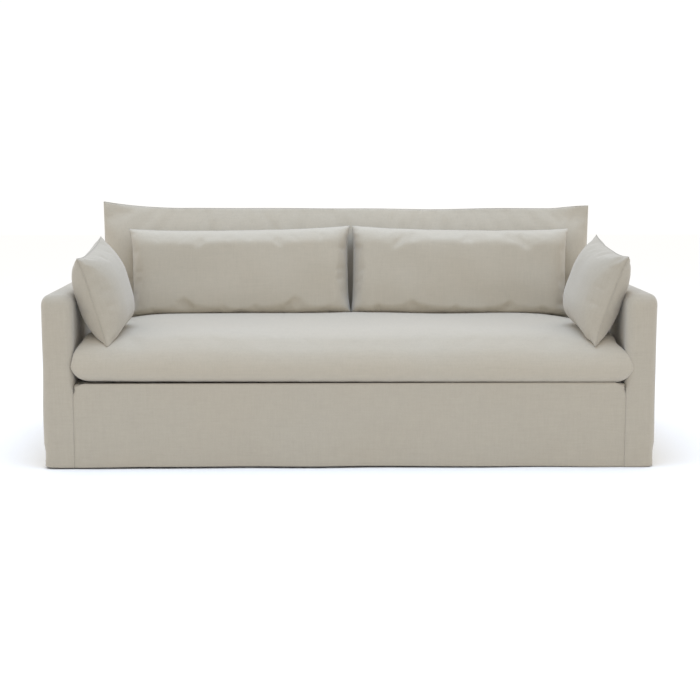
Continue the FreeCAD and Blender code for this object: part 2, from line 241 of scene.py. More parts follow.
def off_the_arm(points, side, gap):
    """Push points off an arm's inner face and its top, away from a line deep inside the arm."""
    deep = 0.090
    squareness = 6
    inward = np.maximum(ARM_IN + deep - points[:, 0] * side, 0.0)
    above = np.maximum(points[:, 2] - (ARM_TOP - deep), 0.0)
    reach = (inward ** squareness + above ** squareness) ** (1.0 / squareness)
    inside = (reach < deep + gap) & (reach > 1e-6) & (points[:, 1] > FRONT - gap)
    scale = np.where(inside, (deep + gap) / np.maximum(reach, 1e-9), 1.0)
    moved = points.copy()
    moved[:, 0] -= side * inward * (scale - 1.0)
    moved[:, 2] += above * (scale - 1.0)
    return moved


def tree_of(piece):
    mesh = piece.data
    return BVHTree.FromPolygons([piece.matrix_world @ v.co for v in mesh.vertices],
                                [tuple(p.vertices) for p in mesh.polygons])


def rest_against(points, tree, direction, gap):
    """Stop points short of a surface that they lean on, along one direction."""
    reach = 0.3
    direction = Vector(direction)
    result = points.copy()
    for number, point in enumerate(points):
        start = Vector(point) - direction * reach
        hit = tree.ray_cast(start, direction, reach + gap)
        if hit[0] is not None:
            result[number] = hit[0] - direction * gap
    return result


# ---------------------------------------------------------------- materials

def new_material(name, roughness, sheen=0.0, metallic=0.0, specular=0.5):
    material = bpy.data.materials.new(name)
    material.use_nodes = True
    shader = material.node_tree.nodes["Principled BSDF"]
    shader.inputs["Roughness"].default_value = roughness
    shader.inputs["Sheen Weight"].default_value = sheen
    shader.inputs["Sheen Roughness"].default_value = 0.6
    shader.inputs["Metallic"].default_value = metallic
    shader.inputs["Specular IOR Level"].default_value = specular
    return material, material.node_tree.nodes, material.node_tree.links, shader


def noise(nodes, links, place, scale, detail=2.0, roughness=0.55):
    """A noise texture stretched by a scale along each axis, in object coordinates."""
    mapping = nodes.new("ShaderNodeMapping")
    mapping.inputs["Scale"].default_value = scale
    links.new(place.outputs["Object"], mapping.inputs["Vector"])
    texture = nodes.new("ShaderNodeTexNoise")
    texture.inputs["Scale"].default_value = 1.0
    texture.inputs["Detail"].default_value = detail
    texture.inputs["Roughness"].default_value = roughness
    links.new(mapping.outputs["Vector"], texture.inputs["Vector"])
    return texture.outputs["Fac"]


def maths(nodes, links, operation, first, second):
    node = nodes.new("ShaderNodeMath")
    node.operation = operation
    for socket, value in zip(node.inputs, (first, second)):
        if isinstance(value, (int, float)):
            socket.default_value = value
        else:
            links.new(value, socket)
    return node.outputs["Value"]


def ramp(nodes, links, value, stops):
    """Colours along a value: stops is a list of (position, colour)."""
    node = nodes.new("ShaderNodeValToRGB")
    elements = node.color_ramp.elements
    while len(elements) < len(stops):
        elements.new(0.5)
    for element, (position, colour) in zip(elements, stops):
        element.position = position
        element.color = (*colour, 1.0)
    links.new(value, node.inputs["Fac"])
    return node.outputs["Color"]


def mix(nodes, links, amount, first, second):
    """Blend two colours: amount is the share of the second."""
    node = nodes.new("ShaderNodeMix")
    node.data_type = "RGBA"
    node.inputs["Factor"].default_value = amount
    links.new(first, node.inputs["A"])
    links.new(second, node.inputs["B"])
    return node.outputs["Result"]


def bump(nodes, links, shader, height, distance):
    node = nodes.new("ShaderNodeBump")
    node.inputs["Distance"].default_value = distance
    links.new(height, node.inputs["Height"])
    links.new(node.outputs["Normal"], shader.inputs["Normal"])


def shade(colour, factor):
    return tuple(min(1.0, channel * factor) for channel in colour)


def tones(nodes, links, value, colour, *stops):
    """Darker and lighter tones of one colour along a value: each stop is a position and a factor."""
    return ramp(nodes, links, value, [(position, shade(colour, factor)) for position, factor in stops])


def crossing(nodes, links, place, along, across, detail):
    """Streaks that run along each of the three axes, so that two sets cross on any face. along and across
    are how many times a metre they change in those directions."""
    sets = [noise(nodes, links, place, scale, detail=detail) for scale in
            ((along, across, across), (across, along, across), (across, across, along))]
    total = maths(nodes, links, "ADD", maths(nodes, links, "ADD", sets[0], sets[1]), sets[2])
    return maths(nodes, links, "DIVIDE", total, 3.0)


THREAD = 0.0011         # from one thread to the next
THREAD_RUN = 0.030      # along a thread, from one uneven place to the next
WEAVE_DEPTH = 0.0005
SLUBS_ALONG = 14.0      # how many times a metre the yarn turns thick or thin, along it and across it
SLUBS_ACROSS = 210.0


def woven(name, colour, warm, thread=THREAD):
    """Plain-woven cloth: crossing threads, thick and thin stretches of yarn, and slow drifts between two
    shades."""
    material, nodes, links, shader = new_material(name, 0.9, sheen=0.35, specular=0.25)
    place = nodes.new("ShaderNodeTexCoord")
    weave = crossing(nodes, links, place, 1.0 / THREAD_RUN, 1.0 / thread, 2.0)
    yarn = tones(nodes, links, weave, colour, (0.30, 0.84), (0.50, 1.00), (0.68, 1.10))
    slubs = crossing(nodes, links, place, SLUBS_ALONG, SLUBS_ACROSS, 1.0)
    streaks = tones(nodes, links, slubs, colour, (0.34, 0.82), (0.50, 1.00), (0.66, 1.16))
    patches = noise(nodes, links, place, (3.1, 3.7, 4.3), detail=3.0)
    drift = ramp(nodes, links, patches, [(0.35, colour), (0.65, warm)])
    creases = noise(nodes, links, place, (38.0, 38.0, 38.0))
    worn = tones(nodes, links, creases, colour, (0.30, 0.95), (0.70, 1.04))
    base = mix(nodes, links, 0.40, mix(nodes, links, 0.50, yarn, streaks), drift)
    links.new(mix(nodes, links, 0.25, base, worn), shader.inputs["Base Color"])
    bump(nodes, links, shader, weave, WEAVE_DEPTH)
    return material


def timber(name, colour, ring=14.0, roughness=0.5):
    """Wood: long grain along each board, darker pores and slow bands."""
    material, nodes, links, shader = new_material(name, roughness, specular=0.4)
    place = nodes.new("ShaderNodeTexCoord")
    grain = noise(nodes, links, place, (ring * 0.15, ring * 3.0, ring * 3.0), detail=6.0, roughness=0.65)
    pores = noise(nodes, links, place, (12.0, 420.0, 420.0), detail=3.0)
    both = maths(nodes, links, "ADD", maths(nodes, links, "MULTIPLY", grain, 0.75),
                 maths(nodes, links, "MULTIPLY", pores, 0.25))
    links.new(tones(nodes, links, both, colour, (0.34, 0.62), (0.50, 1.00), (0.66, 1.18)),
              shader.inputs["Base Color"])
    bump(nodes, links, shader, both, 0.0006)
    return material


def steel(name, colour):
    """Brushed metal: fine scratches, unevenly rough."""
    material, nodes, links, shader = new_material(name, 0.35, metallic=1.0)
    place = nodes.new("ShaderNodeTexCoord")
    scratches = noise(nodes, links, place, (40.0, 900.0, 900.0), detail=3.0)
    links.new(tones(nodes, links, scratches, colour, (0.35, 0.80), (0.65, 1.10)), shader.inputs["Base Color"])
    uneven = maths(nodes, links, "MULTIPLY", scratches, 0.25)
    links.new(maths(nodes, links, "ADD", uneven, 0.5), shader.inputs["Roughness"])
    bump(nodes, links, shader, scratches, 0.0001)
    return material


def porous(name, colour, cell, roughness=0.95, depth=0.001):
    """Foam, felt and pressed board: small cells with uneven shade."""
    material, nodes, links, shader = new_material(name, roughness, sheen=0.1, specular=0.2)
    place = nodes.new("ShaderNodeTexCoord")
    cells = noise(nodes, links, place, (1.0 / cell,) * 3, detail=4.0, roughness=0.7)
    links.new(tones(nodes, links, cells, colour, (0.32, 0.72), (0.55, 1.00), (0.72, 1.12)),
              shader.inputs["Base Color"])
    bump(nodes, links, shader, cells, depth)
    return material


LINEN = (0.396, 0.356, 0.286)
LINEN_WARM = (0.401, 0.350, 0.271)


def linen(name, level, thread=THREAD):
    """The sofa's linen: level scales its colour against the slipcover's. On the back and the cushions it is
    painted light, and on the pillows painted shade, standing in for how the light falls on them.
    """
    return woven(name, shade(LINEN, level), shade(LINEN_WARM, level), thread)


cover_linen = linen("cover_linen", 1.00)
# Painted light and shade: the back, the seat cushion, the back cushions and the pillows are all one linen; the
# back and the cushions are made lighter and the pillows darker, standing in for the light each gets.
back_linen_painted_light = linen("back_linen_painted_light", 1.12)
cushion_linen = linen("cushion_linen", 1.07)
lumbar_linen_painted_light = linen("lumbar_linen_painted_light", 1.12)
pillow_linen = linen("pillow_linen", 0.96)
seam_linen = linen("seam_linen", 0.90, thread=0.0008)

FRAME_MATERIALS = {
    "frame_wood": timber("frame_timber", (0.47, 0.31, 0.16)),
    "leg_wood": timber("leg_timber", (0.26, 0.13, 0.055), ring=20.0, roughness=0.35),
    "hardboard": porous("hardboard_fibre", (0.16, 0.09, 0.045), 0.002, roughness=0.7, depth=0.0004),
    "steel": steel("zinc_steel", (0.55, 0.55, 0.56)),
    "zip_metal": steel("zip_nickel", (0.50, 0.46, 0.38)),
    "foam": porous("foam_cells", (0.74, 0.66, 0.42), 0.003),
    "wadding": porous("fibre_wadding", (0.83, 0.83, 0.80), 0.012, depth=0.004),
    "felt": porous("pressed_felt", (0.075, 0.062, 0.05), 0.0015),
    "dust_cloth": woven("dust_cloth_fibre", (0.014, 0.014, 0.014), (0.018, 0.017, 0.016), thread=0.002),
    "webbing": woven("webbing_weave", (0.035, 0.03, 0.027), (0.05, 0.035, 0.025), thread=0.003),
    "zip_tape": linen("zip_tape_weave", 0.90, thread=0.0007),
    "slipcover_linen": cover_linen,
    "cushion_linen": cushion_linen,
    "pillow_linen": pillow_linen,
}
for part in frame["record"]["subparts"]:
    node = frame["nodes"][part["node"]]
    node.data.materials.clear()
    node.data.materials.append(FRAME_MATERIALS[part["material_slot"]])


# ---------------------------------------------------------------- seams

def ribbon(name, path, radius, material, closed=False, flat=1.0):
    """A raised seam: a small tube along a path. flat is how many times wider than deep it is from the
    front."""
    path = np.asarray(path, float)
    count = len(path)
    if closed:
        ahead = unit(np.roll(path, -1, axis=0) - np.roll(path, 1, axis=0))
    else:
        ahead = unit(np.gradient(path, axis=0))
    across = unit(np.cross(ahead, (0.0, 1.0, 0.0)))
    over = np.cross(across, ahead)
    sides = 6
    lines = []
    for corner in range(sides):
        angle = 2.0 * math.pi * corner / sides
        lines.append(path + radius * (math.cos(angle) * across * flat + math.sin(angle) * over))
    points = np.stack(lines, axis=1).reshape(-1, 3)
    faces = []
    for ring in range(count if closed else count - 1):
        here = ring * sides
        after = (ring + 1) % count * sides
        for corner in range(sides):
            turn = (corner + 1) % sides
            faces.append((here + corner, here + turn, after + turn, after + corner))
    if not closed:
        faces.append(tuple(range(sides))[::-1])
        faces.append(tuple(range((count - 1) * sides, count * sides)))
    return make_piece(name, points, faces, material)


def smooth_loop(path, passes):
    """Even out a closed path a little, as a thread under tension does."""
    for _ in range(passes):
        path = (np.roll(path, 1, axis=0) + 2.0 * path + np.roll(path, -1, axis=0)) / 4.0
    return path


PUCKER_WAVE = 0.035     # from one gather to the next
PUCKER_PATCH = 0.30     # from one strongly gathered stretch to the next


def puckers(panels, points, surface_normals, size, depth, reach, seed):
    """Small gathers that run in from the rim and fade over a reach. Each side and each panel has its own."""
    half_u, half_v = size[0] / 2.0, size[1] / 2.0
    from_u = (1.0 - np.abs(panels.u)) * half_u
    from_v = (1.0 - np.abs(panels.v)) * half_v
    from_rim = np.minimum(from_u, from_v)
    along = np.where(from_u < from_v, panels.v * half_v + 3.0 * np.sign(panels.u), panels.u * half_u)
    track = np.stack([along, 0.3 * panels.side, 0.0 * along], axis=1)
    strength = 0.4 + 0.6 * smooth(ripple(track, PUCKER_PATCH, seed + 1))
    waves = ripple(track, PUCKER_WAVE, seed) * strength
    weight = np.exp(-from_rim / reach) * (panels.side != 0)
    return points + surface_normals * (depth * waves * weight)[:, None]


# ---------------------------------------------------------------- loose cushions

SWELL_MOST = 0.006      # how far a panel may swell out of its drawn shape
CONTACT = 0.0015        # the gap left where a cushion is pressed against the seat or an arm
LEANING = 0.002         # the gap left where a cushion leans on the back or an arm


def stuffed(name, size, spacing, seed, pull, reach, power, gather, material):
    """A cushion of two panels sewn round their rim. size is its width, thickness and height from ear to ear.
    pull is how far its sides, top and bottom draw in between the ears, and below zero they bow out. The
    panels rise over a reach from the sides, the top and the bottom, and a lower power makes that rise
    boxier. gather is the depth of the puckers along the seam."""
    width, thickness, height = size
    panels = Panels(round(width / spacing), round(height / spacing))
    end_pull = np.where(panels.v > 0, pull[1], pull[2])
    half_u = width / 2.0 - pull[0] * (1.0 - np.abs(panels.v) ** 4)
    half_v = height / 2.0 - end_pull * (1.0 - np.abs(panels.u) ** 3)
    from_side = (1.0 - np.abs(panels.u)) * width / 2.0
    from_end = (1.0 - np.abs(panels.v)) * height / 2.0
    end_reach = np.where(panels.v > 0, reach[1], reach[2])
    depth = thickness / 2.0 * swell(from_side / reach[0], power) * swell(from_end / end_reach, power)
    points = np.stack([panels.u * half_u, -panels.side * depth, panels.v * half_v], axis=1)
    piece = make_piece(name, points, panels.faces, material)
    end = run_cloth(piece, frames=18, pressure=0.9, pinned=panels.side == 0, growth=0.014)
    points = capped(points, end, SWELL_MOST)
    set_coordinates(piece.data, points)
    points = puckers(panels, points, normals(piece.data), (width, height), gather, reach=0.024, seed=seed)
    points[:, 1] += 0.0015 * ripple(points, wavelength=0.16, seed=seed + 5) * (panels.side != 0)
    set_coordinates(piece.data, points)
    return piece, panels


def pose_points(pose, points):
    matrix = np.array(pose)
    return points @ matrix[:3, :3].T + matrix[:3, 3]


def mark_rim(piece, panels, crease):
    """Keep the seam a little sharp when the piece is subdivided."""
    rim_edges = {frozenset((int(a), int(b))) for a, b in zip(panels.rim, np.roll(panels.rim, -1))}
    layer = piece.data.attributes.new("crease_edge", "FLOAT", "EDGE")
    layer.data.foreach_set("value", [crease if frozenset(edge.vertices) in rim_edges else 0.0
                                     for edge in piece.data.edges])


def finish_cushion(piece, panels, pose, points, body, nodes, crease=0.5, seam_behind=None):
    """Set the final world points, keep the piece's own axes for its weave, and add its seam. seam_behind is
    how far forward the seam shows, where it is not seen all round."""
    set_coordinates(piece.data, pose_points(pose.inverted(), points))
    mark_rim(piece, panels, crease)
    subdivide(piece)
    piece.matrix_world = pose
    rim = smooth_loop(coordinates(piece.data)[panels.rim], 2)
    if seam_behind is not None:
        shown = rim[:, 1] > seam_behind
        first = np.flatnonzero(shown & ~np.roll(shown, 1))[0]
        rim = np.roll(rim, -first, axis=0)[:shown.sum()]
    seam = ribbon(piece.name + "_seam", rim, 0.0012, seam_linen, closed=seam_behind is None)
    seam.parent = piece
    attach(piece, body)
    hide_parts(*nodes)
    return piece


# The arms as boxes for the seat, longer than they are below and behind.
ARM_BOXES = [
    ((ARM_IN, FRONT, -0.2), (ARM_OUT, 0.6, ARM_TOP)),
    ((-ARM_OUT, FRONT, -0.2), (-ARM_IN, 0.6, ARM_TOP)),
]

# The seat cushion seen from above: its gap to an arm, its overhang in front, its corners' radius, half the
# width of its front, which spreads over the ends of the arms, from how far behind them and over what depth
# it spreads, and how far the front's ends sit to the right.
SEAT_GAP = 0.004
SEAT_OVERHANG = 0.013
SEAT_CORNER = 0.030
SEAT_TIP = 1.019
SEAT_TIP_FROM = 0.070
SEAT_TIP_OVER = 0.075
SEAT_SHIFT = 0.010
# The heights of its seam above the floor, of its top above the seam, and of its underside above the deck.
SEAM_HEIGHT = 0.364
SEAT_CROWN = 0.1145
SEAT_STAND = 0.003
# How its top and its underside leave the seam along each edge: over what reach, and the power of the rise.
SEAT_TOP = {"front": (0.23, 0.37), "side": (0.20, 0.10), "rear": (0.10, 0.40)}
SEAT_UNDER = {"front": (0.040, 0.42), "side": (0.070, 0.60), "rear": (0.050, 0.50)}
SEAT_TILT = 0.006       # fall of the front seam, per metre towards the right
SEAT_NOSE_LIFT = 0.0035
SEAT_REAR_DIP = 0.022   # how far the top falls at its rear corners


def risen(height, distances, rises):
    """How far a panel stands off its seam, given its distance to each edge."""
    for edge, (reach, power) in rises.items():
        height = height * swell(distances[edge] / reach, power)
    return height


def seat_points(panels):
    """The bench cushion: a flat bottom, a round front that bulges past the arms at its corners, and a top
    that falls away towards its edges."""
    front = FRONT - SEAT_OVERHANG
    half_width = ARM_IN - SEAT_GAP
    half_depth = (SEAT_REAR - front) / 2.0
    half = np.array([half_width, half_depth])
    flat = np.stack([panels.u * half_width, panels.v * half_depth], axis=1)
    flat = rounded(flat, np.clip(flat, SEAT_CORNER - half, half - SEAT_CORNER), SEAT_CORNER)
    x = flat[:, 0]
    y = flat[:, 1] + (front + SEAT_REAR) / 2.0
    spread = smooth((FRONT + SEAT_TIP_FROM - y) / SEAT_TIP_OVER)
    outer = smooth((np.abs(x) - 0.80) / 0.15)
    x = x * (1.0 + spread * (SEAT_TIP / half_width - 1.0)) + spread * SEAT_SHIFT * outer
    distances = {
        "front": (1.0 + panels.v) * half_depth,
        "side": (1.0 - np.abs(panels.u)) * half_width,
        "rear": (1.0 - panels.v) * half_depth,
    }
    top = risen(SEAT_CROWN, distances, SEAT_TOP)
    under = risen(SEAM_HEIGHT - DECK - SEAT_STAND, distances, SEAT_UNDER)
    tilt = SEAT_TILT * x * near(distances["front"], 0.15)
    nose_lift = SEAT_NOSE_LIFT * near(distances["front"], 0.10)
    rear_dip = SEAT_REAR_DIP * near(distances["side"], 0.27) * smooth((y + 0.10) / 0.30)
    z = SEAM_HEIGHT + np.where(panels.side > 0, top, 0.0) - np.where(panels.side < 0, under, 0.0)
    z = z - tilt
    z = z + np.where(panels.side < 0, nose_lift, 0.0)
    z = z - np.where(panels.side > 0, rear_dip, 0.0)
    return np.stack([x, y, z], axis=1)


def seat_cushion():
    spacing = 0.0135
    width, depth = 2.0 * ARM_IN, SEAT_REAR - FRONT
    panels = Panels(round(width / spacing), round(depth / spacing))
    start = seat_points(panels)
    piece = make_piece("seat_cushion", start, panels.faces, cushion_linen)
    lying = (panels.side < 0) & (start[:, 2] < DECK + 0.012)
    held = lying | (panels.side == 0)
    end = run_cloth(piece, frames=14, pressure=1.0, pinned=held, growth=0.006, bending=0.8)
    points = capped(start, end, SWELL_MOST)
    set_coordinates(piece.data, points)
    points = puckers(panels, points, normals(piece.data), (width, depth), depth=0.0011, reach=0.035, seed=11)
    points[:, 2] += (panels.side > 0) * 0.0022 * ripple(points, wavelength=0.42, seed=12)
    for low, high in ARM_BOXES:
        points = out_of_box(points, low, high, ARM_ROUND_IN, CONTACT)
    points[:, 2] = np.maximum(points[:, 2], DECK + 0.002)
    nodes = ["seat_cushion_cover", "seat_cushion_core"]
    return finish_cushion(piece, panels, Matrix.Identity(4), points, "seat_cushion", nodes,
                          crease=0.0, seam_behind=-0.44)


# Each back cushion: the X of its outer and inner ears, how far its sides pull in, and its seed.
BACK_CUSHIONS = {
    "left": (-0.889, 0.0150, 0.013, 21),
    "right": (0.905, 0.0165, 0.008, 33),
}
BACK_CUSHION_THICKNESS = 0.142
BACK_CUSHION_HEIGHT = 0.362
BACK_CUSHION_MIDDLE = 0.648     # the height of its middle above the floor
BACK_CUSHION_TURN = 0.0145      # how far it sinks at its outer end, in radians
BACK_CUSHION_DRAW = 0.012       # how far its top draws in between the ears
BACK_CUSHION_SAG = 0.008        # how far its bottom hangs between them
BACK_CUSHION_REACH = (0.085, 0.070, 0.034)

TAPE_HALF_WIDTH = 0.016
TAPE_STAND = 0.0018             # from the cloth under a zip to the middle of the zip


def draw_to_zip(points, rear_panel, zip_node):
    """Bring the rear panel to the plane of its zip, so that the tape lies on the cloth."""
    low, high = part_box(zip_node)
    centre = [(a + b) / 2.0 for a, b in zip(low, high)]
    plane = centre[1] - TAPE_STAND + (points[:, 2] - centre[2]) * math.tan(RAKE)
    beyond_edge = np.abs(points[:, 2] - centre[2]) - TAPE_HALF_WIDTH
    beyond_end = np.abs(points[:, 0] - centre[0]) - (high[0] - low[0]) / 2.0
    share = rear_panel * near(beyond_edge, 0.030) * near(beyond_end, 0.040)
    moved = points.copy()
    moved[:, 1] += share * (plane - points[:, 1])
    return moved


def back_cushion(hand, seat_tree, back_tree):
    outer, inner, side_pull, seed = BACK_CUSHIONS[hand]
    size = (abs(outer - inner), BACK_CUSHION_THICKNESS, BACK_CUSHION_HEIGHT)
    pull = (side_pull, BACK_CUSHION_DRAW, -BACK_CUSHION_SAG)
    piece, panels = stuffed(hand + "_back_cushion", size, spacing=0.0100, seed=seed, pull=pull,
                            reach=BACK_CUSHION_REACH, power=0.44, gather=0.0030, material=lumbar_linen_painted_light)
    outward = 1.0 if hand == "right" else -1.0
    low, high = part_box(hand + "_back_cushion_cover")
    middle = Vector(((outer + inner) / 2.0, (low[1] + high[1]) / 2.0 - 0.002, BACK_CUSHION_MIDDLE))
    turned = Matrix.Translation(middle) @ Matrix.Rotation(outward * BACK_CUSHION_TURN, 4, "Y")
    pose = turned @ Matrix.Rotation(-RAKE, 4, "X")
    points = pose_points(pose, coordinates(piece.data))
    points = rest_against(points, back_tree, (0.0, 1.0, 0.0), LEANING)
    points = draw_to_zip(points, panels.side < 0, hand + "_back_cushion_zip")
    points = rest_against(points, seat_tree, (0.0, 0.0, -1.0), CONTACT)
    nodes = [hand + "_back_cushion_cover", hand + "_back_cushion_insert"]
    finish_cushion(piece, panels, pose, points, hand + "_back_cushion", nodes)


PILLOW_THICKNESS = 0.156
# Three corners of each small pillow: its front foot, its front top and its rear top. The foot stands on the
# slope of the seat, so the pillow leans out on the arm and is not quite square.
PILLOW_CORNERS = {
    "left": ((-0.869, -0.465, 0.427), (-0.963, -0.510, 0.762), (-0.930, -0.165, 0.822)),
    "right": ((0.882, -0.460, 0.434), (0.989, -0.497, 0.765), (0.934, -0.156, 0.826)),
}
PILLOW_SEEDS = {"left": 41, "right": 57}
PILLOW_GATHERS = {"left": 0.0014, "right": 0.0034}
PILLOW_PULL = 0.018
PILLOW_REACH = 0.130
PILLOW_TUCK = 0.020     # how far the rear bottom corner is folded in under the pillow


def small_pillow(hand, seat_tree):
    foot, top, rear = map(Vector, PILLOW_CORNERS[hand])
    across = rear - top
    upward = top - foot
    size = (across.length, PILLOW_THICKNESS, upward.length)
    piece, panels = stuffed(hand + "_pillow", size, spacing=0.0086, seed=PILLOW_SEEDS[hand],
                            pull=(PILLOW_PULL,) * 3, reach=(PILLOW_REACH,) * 3, power=0.50,
                            gather=PILLOW_GATHERS[hand], material=pillow_linen)
    across.normalize()
    upward.normalize()
    facing = upward.cross(across).normalized()
    middle = (foot + rear) / 2.0
    tuck = PILLOW_TUCK * smooth((panels.u - 0.2) / 0.8) * smooth((-panels.v - 0.2) / 0.8)
    flat = coordinates(piece.data) + np.stack([-tuck, 0.0 * tuck, tuck], axis=1)
    points = np.array(middle) + flat @ np.array((across, facing, upward))
    points = off_the_arm(points, 1.0 if hand == "right" else -1.0, LEANING)
    points = rest_against(points, seat_tree, (0.0, 0.0, -1.0), CONTACT)
    pose = Matrix((facing.cross(upward), facing, upward)).transposed().to_4x4()
    pose.translation = middle
    nodes = [hand + "_pillow_cover", hand + "_pillow_insert"]
    finish_cushion(piece, panels, pose, points, hand + "_pillow", nodes)


# ---------------------------------------------------------------- the fixed back

BACK_SEAM_Y = 0.416     # where the seam over the top lies, front to back
BACK_FOOT_Y = 0.330     # where the front face meets the deck
BACK_HALF_ABOVE = 1.010     # half the width above the arms
BACK_BELLY = 0.014
BACK_REAR_LEAN = 0.042  # how far the rear leans forward from the arms' height to near the top
LEFT_EAR = 0.0320       # how far each end of the seam over the top rises
RIGHT_EAR = 0.0110
# How the front and the rear leave the seam: over what reach below the top and from the sides.
BACK_TOP_REACH = 0.13
BACK_FRONT_SIDE_REACH = 0.14
BACK_REAR_SIDE_REACH = 0.012


def back_points(panels):
    """The back: a raked front, an upright rear and a knife-edge seam over the top, with an ear at each end.
    It fills the gap between the arms and widens above them."""
    bottom = DECK - 0.01
    height = BACK_HIGH[2]
    z = bottom + (panels.v + 1.0) / 2.0 * (height - bottom)
    above = smooth((z - ARM_TOP + 0.012) / 0.014)
    half = ARM_IN - 0.002 + (BACK_HALF_ABOVE - ARM_IN) * above
    from_side = (1.0 - np.abs(panels.u)) * half
    from_side = from_side * np.minimum(1.0, from_side / 0.04)
    x = np.sign(panels.u) * (half - from_side)
    from_top = height - z
    belly = BACK_BELLY * swell(from_top / 0.14, 1.0) * smooth((z - 0.50) / 0.25) * swell(from_side / 0.20, 0.7)
    front = BACK_FOOT_Y + (z - DECK) * math.tan(RAKE) - belly
    rear = REAR - BACK_REAR_LEAN * smooth((z - ARM_TOP) / (height - 0.05 - ARM_TOP))
    side_reach = np.where(panels.side > 0, BACK_FRONT_SIDE_REACH, BACK_REAR_SIDE_REACH)
    rise = swell(from_top / BACK_TOP_REACH, 0.55) * swell(from_side / side_reach, 0.5)
    middle = BACK_SEAM_Y + 0.02 * swell(from_top / 0.4, 1.0)
    y = middle + np.where(panels.side > 0, (front - middle) * rise, 0.0)
    y = y + np.where(panels.side < 0, (rear - middle) * rise, 0.0)
    left_ear = LEFT_EAR * np.clip(1.0 - (x + half) / 0.33, 0.0, 1.0) ** 1.6
    right_ear = RIGHT_EAR * near(half - x, 0.16) ** 0.7
    waves = 0.0016 * ripple(np.stack([x, 0.0 * x, 0.0 * x], axis=1), wavelength=0.35, seed=61)
    z = z + (left_ear + right_ear + waves) * near(from_top, 0.12)
    return np.stack([x, y, z], axis=1)


def back_cover():
    panels = Panels(150, 46)
    start = back_points(panels)
    piece = make_piece("back_cover", start, panels.faces, back_linen_painted_light)
    held = (panels.side == 0) | (start[:, 2] < 0.45)
    end = run_cloth(piece, frames=14, pressure=0.8, pinned=held, growth=0.008, bending=0.8)
    points = capped(start, end, SWELL_MOST)
    set_coordinates(piece.data, points)
    size = (2.0 * ARM_IN, BACK_HIGH[2] - DECK)
    points = puckers(panels, points, normals(piece.data), size, depth=0.0016, reach=0.035, seed=62)
    points[:, 1] += 0.0010 * ripple(points, wavelength=0.30, seed=63) * (panels.side > 0)
    points[:, 1] = np.minimum(points[:, 1], REAR - 0.001)
    inside = ARM_IN - 0.0015
    between_arms = points[:, 2] < ARM_TOP - 0.005
    points[:, 0] = np.where(between_arms, np.clip(points[:, 0], -inside, inside), points[:, 0])
    set_coordinates(piece.data, points)
    mark_rim(piece, panels, 0.5)
    subdivide(piece)
    rim = coordinates(piece.data)[panels.rim]
    top = rim[rim[:, 2] > ARM_TOP + 0.03]
    order = np.argsort(np.arctan2(top[:, 2] - 0.3, top[:, 0]))
    seam = ribbon("back_cover_seam", top[order], 0.0007, cover_linen)
    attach(piece, "sofa_frame")
    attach(seam, "sofa_frame")
    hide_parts("slipcover_back", "back_foam", "back_top_roll")
    return piece


# ---------------------------------------------------------------- the sheets of the slipcover

HEM_BAND = 0.024        # height of the doubled cloth along the hem
HEM_WAVES = 0.0030      # how far the skirts swing in and out at the hem
# How far the hem rides up or down: places along the sofa and the lift at each, which fades out above.
HEM_PLACES = (-1.10, -1.04, -0.75, 0.0, 0.50, 0.98, 1.06, 1.10)
HEM_LIFTS = (0.0050, 0.0020, 0.0045, 0.0045, 0.0025, -0.0010, -0.0010, 0.0015)
HEM_LIFT_HEIGHT = 0.12


def stations(low, high, round_low, round_high, spacing):
    """Places along an axis, close together where an edge is rounded."""
    first, last = low + round_low, high - round_high
    count = max(1, round((last - first) / spacing))
    places = [np.linspace(first, last, count + 1)]
    if round_low:
        places.append(np.linspace(low, first, 7))
    if round_high:
        places.append(np.linspace(last, high, 7))
    return np.unique(np.round(np.concatenate(places), 6))


def hem_lift(x, z):
    return np.interp(x, HEM_PLACES, HEM_LIFTS) * smooth((HEM_LIFT_HEIGHT - z) / HEM_LIFT_HEIGHT)


def drape(points, outward, seed, swing):
    """Loose cloth: faint waves everywhere, wider ones towards the hem, and a doubled band along the hem."""
    x, z = points[:, 0], points[:, 2]
    free = smooth((0.26 - z) / 0.26)
    faint = 0.0007 * ripple(points, wavelength=0.23, seed=seed)
    wide = swing * free * ripple(points * (1.0, 1.0, 0.3), wavelength=0.36, seed=seed + 1)
    band = 0.0009 * smooth((HEM + HEM_BAND - z) / 0.0015)
    moved = points + outward * (faint + wide + band)[:, None]
    moved[:, 2] += hem_lift(x, z)
    return moved


def wrap_faces(xs, ys, zs, low, high, inner_from):
    """The outside, inside, front and top of an arm as separate grids that meet along their edges."""
    blocks = []
    faces = []
    sides = ((ys, zs, 0, high[0], False), (ys, zs[zs > inner_from], 0, low[0], True),
             (xs, zs, 1, low[1], False), (xs, ys, 2, high[2], False))
    for first, second, fixed, value, flip in sides:
        a, b = np.meshgrid(first, second, indexing="ij")
        block = np.full((a.size, 3), value)
        axes = [axis for axis in range(3) if axis != fixed]
        block[:, axes[0]] = a.ravel()
        block[:, axes[1]] = b.ravel()
        made = grid_faces(np.arange(a.size).reshape(a.shape) + sum(len(part) for part in blocks))
        blocks.append(block)
        faces.extend([face[::-1] for face in made] if flip else made)
    return np.concatenate(blocks), faces


ARM_FLARE = {-1: 0.0045, 1: 0.0010}     # how far the left and right arm covers spread towards the hem
ARM_FOOT = 0.0050                       # how far they draw in again at the hem
ARM_SWING = 0.0022


